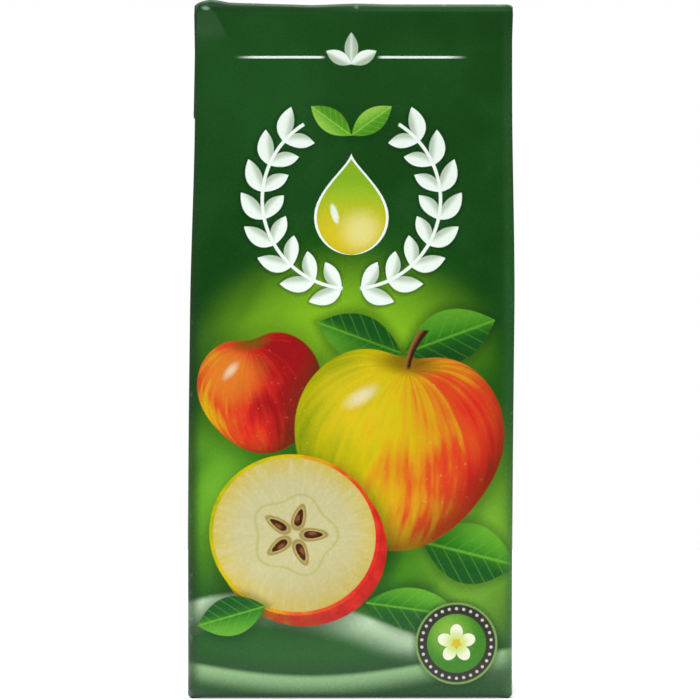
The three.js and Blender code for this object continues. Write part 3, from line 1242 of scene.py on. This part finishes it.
def print_wreath(under):
    x, y = press.local(press.join(abs(u), v), WREATH)
    far = press.reach(x, y)
    angle = press.math("ARCTAN2", x, y * -1) - BRANCH_START
    within = press.step(angle, -0.01, 0.01) * press.step(angle, BRANCH_END + 0.01, BRANCH_END - 0.01)
    along_arc = press.math("WRAP", angle, LEAF_STEP, 0.0) * WREATH_R
    from_arc = abs(far - WREATH_R)
    _, across, inside = leaf_shape(press.join(along_arc, from_arc), *WREATH_LEAF)
    colour = press.over(under, WREATH_SHADOW, press.step(inside, -1.6, 0.2) * within * 0.55)
    tone = press.over(WHITE, WHITE_SHADE, press.step(across, 0.1, -0.7))
    colour = press.over(colour, tone, filled(inside) * within)
    return press.over(colour, WHITE, press.step(from_arc, 0.6, 0.35) * within)


colour = print_wreath(colour)
print("wreath printed, leaf pairs on a branch:", round(BRANCH_END / LEAF_STEP))

# %% [markdown]
# The drop is a half circle below and a taper to a point above it, with a white line around it. It is filled
# with a soft change of colour and a gleam, so that it looks round. Two small lime leaves stand above it.

# %% Drop and its leaves
DROP_MIDDLE, DROP_R, DROP_POINT = (0, 135), 10.5, 1.75
DROP_LINE = 0.75
JUICE_LOW, JUICE_HIGH = ink(220, 200, 37), ink(140, 192, 40)
JUICE_LIT, JUICE_EDGE = ink(238, 231, 149), ink(121, 149, 14)
LIME_TONES = (ink(76, 147, 31), ink(102, 177, 40), ink(166, 209, 89))
LIME_LEAVES = (
    # foot, turn, length, half width
    ((0, 158), 36, 14, 3.3),
    ((0, 158), 144, 14, 3.3),
)


def print_juice(x, y):
    juice = press.over(JUICE_LOW, JUICE_HIGH, press.step(y, -0.6, 1.1))
    juice = press.over(juice, JUICE_LIT, press.step(press.reach(x - 0.25, y + 0.35), 0.75, 0.1) * 0.8)
    juice = press.over(juice, JUICE_EDGE, press.step(press.reach(x, y), 0.7, 1.15) * 0.3)
    gleam_x, gleam_y = press.local(press.join(x, y), (-0.45, 0.1), 16, (0.12, 0.34))
    return press.over(juice, WHITE, press.step(press.reach(gleam_x, gleam_y), 1, 0.5) * 0.85)


def print_drop(under):
    x, y = press.local(sheet, DROP_MIDDLE, 0, (DROP_R, DROP_R))
    up = y / DROP_POINT
    low = press.math("SQRT", press.math("MAXIMUM", 1 - y * y, 0))
    high = press.math("POWER", press.math("MAXIMUM", 1 - up * up, 0), 1.6)
    half = low + (high - low) * press.math("GREATER_THAN", y, 0)
    inside = (half - abs(x)) * DROP_R * press.step(y, DROP_POINT, DROP_POINT - 0.05)
    colour = press.over(under, WHITE, press.step(inside, 0, SOFT))
    return press.over(colour, print_juice(x, y), press.step(inside, DROP_LINE, DROP_LINE + SOFT))


colour = print_drop(colour)
for leaf in LIME_LEAVES:
    colour = print_leaf(colour, *leaf, LIME_TONES, shade=0.2)
print("drop printed, leaves above it:", len(LIME_LEAVES))

# %% [markdown]
# A thin white rule with a sprig closes the design at the top. The narrow panels carry an empty frame: a
# rounded box is found by how far a point lies past its straight sides.

# %% Rule, sprig and side frames
RULE_V = 180
SPRIG_LEAVES = ((90, 9), (28, 8))
SPRIG_SHADE = ink(177, 196, 171)
FRAME_HALF, FRAME_LOW, FRAME_HIGH, FRAME_CORNER = 22, 42, 160, 5
FRAME_GROUND, FRAME_LINE = ink(40, 91, 38), ink(140, 173, 128)


def print_rule(under):
    aside = abs(u)
    line = press.step(abs(v - RULE_V), 0.45, 0.2) * press.step(aside, 7, 9) * press.step(aside, 33, 26)
    colour = press.over(under, WHITE, line)
    for turn, length in SPRIG_LEAVES:
        _, across, inside = leaf_shape(press.join(aside, v), (0, RULE_V - 2), turn, length, 1.9)
        tone = press.over(WHITE, SPRIG_SHADE, press.step(across, 0.3, -0.5))
        colour = press.over(colour, tone, filled(inside))
    return colour


def print_frame(under):
    """A rounded frame in the middle of each narrow panel."""
    x = REPEAT / 2 - abs(u)
    y = abs(v - (FRAME_LOW + FRAME_HIGH) / 2)
    past_x = press.math("MAXIMUM", x - (FRAME_HALF - FRAME_CORNER), 0)
    past_y = press.math("MAXIMUM", y - ((FRAME_HIGH - FRAME_LOW) / 2 - FRAME_CORNER), 0)
    past = press.reach(past_x, past_y) - FRAME_CORNER
    colour = press.over(under, FRAME_GROUND, disc(past, 0))
    return press.over(colour, FRAME_LINE, press.step(abs(past), 0.45, 0.2))


colour = print_rule(colour)
colour = print_frame(colour)
print("frame, mm:", 2 * FRAME_HALF, FRAME_HIGH - FRAME_LOW)

# %% [markdown]
# Light and shade on the folds are painted into the ink. There is painted shade along the left fold of a wide
# panel and paler ink along its right fold, which is painted light against the shade there. Below the top
# fold on the right there is painted shade. On the top fold is a band of its own, which is painted shade on
# the left and a painted highlight on the right. The foot has painted shade where the board turns under.

# %% Folds: painted shade and light
FOLD_U, TOP_V = WIDTH / mm / 2, HEIGHT / mm
FOLD_SHADE, FOLD_PAINTED_LIGHT = ink(34, 58, 34), ink(54, 100, 55)
TOP_SHADE, FOOT_SHADE = ink(16, 60, 17), ink(26, 47, 27)
TOP_FOLD_SHADE, TOP_FOLD_HIGHLIGHT = ink(30, 65, 29), ink(47, 89, 46)
below_end = press.step(v, TOP_V + 3, TOP_V + 1.5)


# Painted shade on the left fold where the board turns away, and painted light on the right fold.
def paint_fold_shade_and_light(under):
    near_fold = press.step(abs(u), FOLD_U - 3.4, FOLD_U - 0.2) * press.step(abs(u), FOLD_U + 5, FOLD_U + 1)
    colour = press.over(under, FOLD_SHADE, near_fold * press.step(u, 1, -1) * 0.75)
    return press.over(colour, FOLD_PAINTED_LIGHT, near_fold * press.step(u, -1, 1) * 0.5)


# Painted shade below the top fold on the right, and a band on the fold: painted shade left, painted
# highlight right.
def paint_top_fold_shade_and_light(under):
    to_right = press.step(u, -14, 12)
    colour = press.over(under, TOP_SHADE, press.step(v, TOP_V - 14, TOP_V - 5) * to_right * 0.4)
    band = press.over(TOP_FOLD_SHADE, TOP_FOLD_HIGHLIGHT, to_right)
    return press.over(colour, band, press.step(v, TOP_V - 2.4, TOP_V - 1.9) * below_end * 0.75)


# Painted shade at the foot, where the board turns under towards the floor.
def paint_foot_shade(under):
    near_foot = press.step(v, 2.2, 0.5) * press.step(v, -4, -1.5)
    return press.over(under, FOOT_SHADE, near_foot * 0.8)


colour = paint_fold_shade_and_light(colour)
colour = paint_top_fold_shade_and_light(colour)
colour = paint_foot_shade(colour)
print("folds printed at u =", FOLD_U, "and v =", TOP_V)

# %% [markdown]
# Two small pale spots on the top fold are painted highlights, where the fold catches the light. A carton
# that was handled has pale specks along all folds where the ink is rubbed off the board, and a fine noise
# scatters them. The cut edges show the bare board.

# %% Painted highlights, wear and cut edges
HIGHLIGHT_INK, WORN_INK, BARE_BOARD = ink(140, 177, 147), ink(140, 172, 146), ink(192, 183, 160)
HIGHLIGHT_SPOTS = (
    # middle, radii, strength
    ((-40.9, 193.8), (1.7, 0.8), 0.8),
    ((1.4, 194.1), (1.0, 0.7), 0.45),
)


# Painted highlights: two pale spots on the top fold, where it catches the light.
def paint_highlight_spots(under):
    colour = under
    on_front = press.step(abs(sheet_u), FOLD_U + 2, FOLD_U)
    for middle, radii, strength in HIGHLIGHT_SPOTS:
        far = press.reach(*press.local(sheet, middle, -8, radii))
        colour = press.over(colour, HIGHLIGHT_INK, press.step(far, 1, 0.2) * on_front * strength)
    return colour


def wear_folds(under):
    on_upright = press.step(abs(abs(u) - FOLD_U - 0.2), 1.0, 0.2) * 0.35
    on_top = press.step(abs(v - TOP_V), 0.9, 0.2)
    specks = press.step(press.noise(on_board, 380, 3), 0.58, 0.74)
    return press.over(under, WORN_INK, (on_upright + on_top) * specks * 0.4)


colour = paint_highlight_spots(colour)
colour = wear_folds(colour)
cut_edge = press.node("ShaderNodeAttribute", {"attribute_name": "cut_edge"}, {}).outputs["Fac"]
colour = press.over(colour, BARE_BOARD, cut_edge)
# The spots counted here are painted highlights.
print("rubbed spots:", len(HIGHLIGHT_SPOTS))

# %% [markdown]
# Over everything lies a thin film. It shines evenly, a little less where it lies on fibres, on the top fold
# and on the knocked corner. A second, clear coat could stand for it, but one glossy surface looks the same
# and is simpler. The fibres and dimples of the board below are too small to model, so they are a slight
# bump.

# %% Film
FILM_ROUGHNESS, FILM_SPECULAR = 0.2, 0.35
BUMP_STRENGTH, BUMP_HEIGHT = 0.15, 0.2 * mm


def dulled_corner():
    """1 on the knocked corner, left of its crease."""
    beyond = (TOP_V - v) * CREASE_SLOPE + CREASE_X / mm - sheet_u
    dulled = press.step(beyond, -0.3, 0.3) * press.step(v, 183.5, 190) * press.step(v, 194, 192.4)
    return dulled * press.step(sheet_u, -46, -43)


def lay_film(colour):
    fibre = press.noise(on_board, 900, 3)
    dimple = press.noise(on_board, 160)
    near_top = press.step(v, TOP_V - 1.2, TOP_V - 0.5) * below_end
    dull = fibre * 0.08 + dimple * 0.06 + dulled_corner() * 0.42 + near_top * 0.2
    relief = {"Strength": BUMP_STRENGTH, "Distance": BUMP_HEIGHT, "Height": fibre * 0.08 + dimple}
    film = {"Base Color": colour, "Roughness": dull + FILM_ROUGHNESS, "Specular IOR Level": FILM_SPECULAR}
    film["Normal"] = press.node("ShaderNodeBump", {}, relief).outputs[0]
    shader = press.node("ShaderNodeBsdfPrincipled", {}, film)
    press.node("ShaderNodeOutputMaterial", {}, {"Surface": shader.outputs[0]})


lay_film(colour)
carton.data.materials.clear()
carton.data.materials.append(board)
print("nodes in the print:", len(board.node_tree.nodes))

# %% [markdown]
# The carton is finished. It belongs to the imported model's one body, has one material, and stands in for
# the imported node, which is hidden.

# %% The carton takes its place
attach(carton, "root")
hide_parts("carton")
print("carton, mm:", [round(side / mm, 1) for side in carton.dimensions])

# %% [markdown]
# The carton stands on a pale floor of paper. It glows a little, like a light table, so that hardly any
# shadow shows beside the carton. A plane would do as well, but a circle has no corners that could show. It
# reaches further back than forward, because the camera sees it behind the carton's front edge only.

# %% Floor
FLOOR_RADIUS = 0.45
FLOOR_MIDDLE = (0, 0.27, 0)
FLOOR_TONE, FLOOR_GLOW = 0.74, 0.18
PURE_WHITE = (1, 1, 1, 1)


def paper_material():
    paper = bpy.data.materials.new("paper")
    mill = Press(paper)
    surface = {
        "Base Color": (FLOOR_TONE, FLOOR_TONE, FLOOR_TONE, 1),
        "Roughness": 0.9,
        "Specular IOR Level": 0.1,
        "Emission Color": PURE_WHITE,
        "Emission Strength": FLOOR_GLOW,
    }
    shader = mill.node("ShaderNodeBsdfPrincipled", {}, surface)
    mill.node("ShaderNodeOutputMaterial", {}, {"Surface": shader.outputs[0]})
    return paper


def build_floor():
    start_fresh()
    circle = {"vertices": 96, "radius": FLOOR_RADIUS, "fill_type": "NGON"}
    bpy.ops.mesh.primitive_circle_add(location=FLOOR_MIDDLE, **circle)
    floor = name_new("floor")
    floor.data.materials.append(paper_material())
    return floor


floor = build_floor()
print("floor faces:", len(floor.data.polygons))

# %% [markdown]
# Around it is a white studio. The camera sees the surrounding in white, but the carton is lit and mirrored
# by a much dimmer one, as in a studio where only the backdrop is bright. Otherwise the film would look
# milky.

# %% Surrounding
SURROUNDING_LIT, SURROUNDING_SEEN = 0.05, 1.0


def build_surrounding():
    world = bpy.data.worlds.new("studio")
    studio = Press(world)
    seen = Value(studio, studio.node("ShaderNodeLightPath", {}, {}).outputs["Is Camera Ray"])
    strength = seen * (SURROUNDING_SEEN - SURROUNDING_LIT) + SURROUNDING_LIT
    white = studio.node("ShaderNodeBackground", {}, {"Color": PURE_WHITE, "Strength": strength})
    studio.node("ShaderNodeOutputWorld", {}, {"Surface": white.outputs[0]})
    bpy.context.scene.world = world
    return world


print("surrounding:", build_surrounding().name)

# %% [markdown]
# One large soft light hangs above and in front of the carton, a little to the left. A very large one hangs
# overhead and lights the floor evenly. Weaker ones at both sides and at the back light the other panels,
# for a viewer who walks around. Small lights would leave hard shadows and bright spots in the film.

# %% Lights
CARTON_MIDDLE = (0, 0, 0.1)
LIGHTS = (
    # name, place, aim, size, power
    ("key", (-0.25, -0.9, 1.3), CARTON_MIDDLE, (0.8, 0.6), 26.2),
    ("left", (-1.2, 0.5, 1.0), CARTON_MIDDLE, (0.8, 0.8), 10.5),
    ("right", (1.2, 0.5, 1.0), CARTON_MIDDLE, (0.8, 0.8), 8.2),
    ("back", (0.2, 1.3, 0.9), CARTON_MIDDLE, (0.9, 0.6), 7.5),
    ("top", (0, 0.5, 1.4), (0, 0.2, 0), (2.0, 2.0), 35),
)


def add_area(name, place, aim, size, power):
    light = bpy.data.lights.new(name, "AREA")
    light.shape = "RECTANGLE"
    light.size, light.size_y = size
    light.energy = power
    lamp = bpy.data.objects.new(name, light)
    lamp.location = place
    lamp.rotation_euler = (Vector(aim) - Vector(place)).to_track_quat("-Z", "Y").to_euler()
    bpy.context.scene.collection.objects.link(lamp)


for light in LIGHTS:
    add_area(*light)
print("lights:", [light[0] for light in LIGHTS])

# %% [markdown]
# The photograph is taken straight on, at the height of the carton's middle and a hair from the left. The
# lens is worked out from the distance and from how much of the front plane the square picture shows.

# %% Camera
CAMERA_DISTANCE = 1.0
CAMERA_YAW = math.radians(0.3)
CAMERA_ASIDE = -0.38 * mm
CAMERA_HEIGHT = 97.85 * mm
PICTURE_HEIGHT = 196.45 * mm
SENSOR_WIDTH = 36


def add_camera():
    lens = bpy.data.cameras.new("camera")
    lens.sensor_width = SENSOR_WIDTH
    lens.lens = SENSOR_WIDTH * CAMERA_DISTANCE / PICTURE_HEIGHT
    camera = bpy.data.objects.new("camera", lens)
    camera_x = CAMERA_ASIDE - CAMERA_DISTANCE * math.sin(CAMERA_YAW)
    camera.location = (camera_x, -DEPTH / 2 - CAMERA_DISTANCE, CAMERA_HEIGHT)
    camera.rotation_euler = (math.pi / 2, 0, -CAMERA_YAW)
    bpy.context.scene.collection.objects.link(camera)
    bpy.context.scene.camera = camera
    return lens


print("focal length, mm:", round(add_camera().lens, 1))
bpy.context.scene.view_settings.view_transform = "Standard"
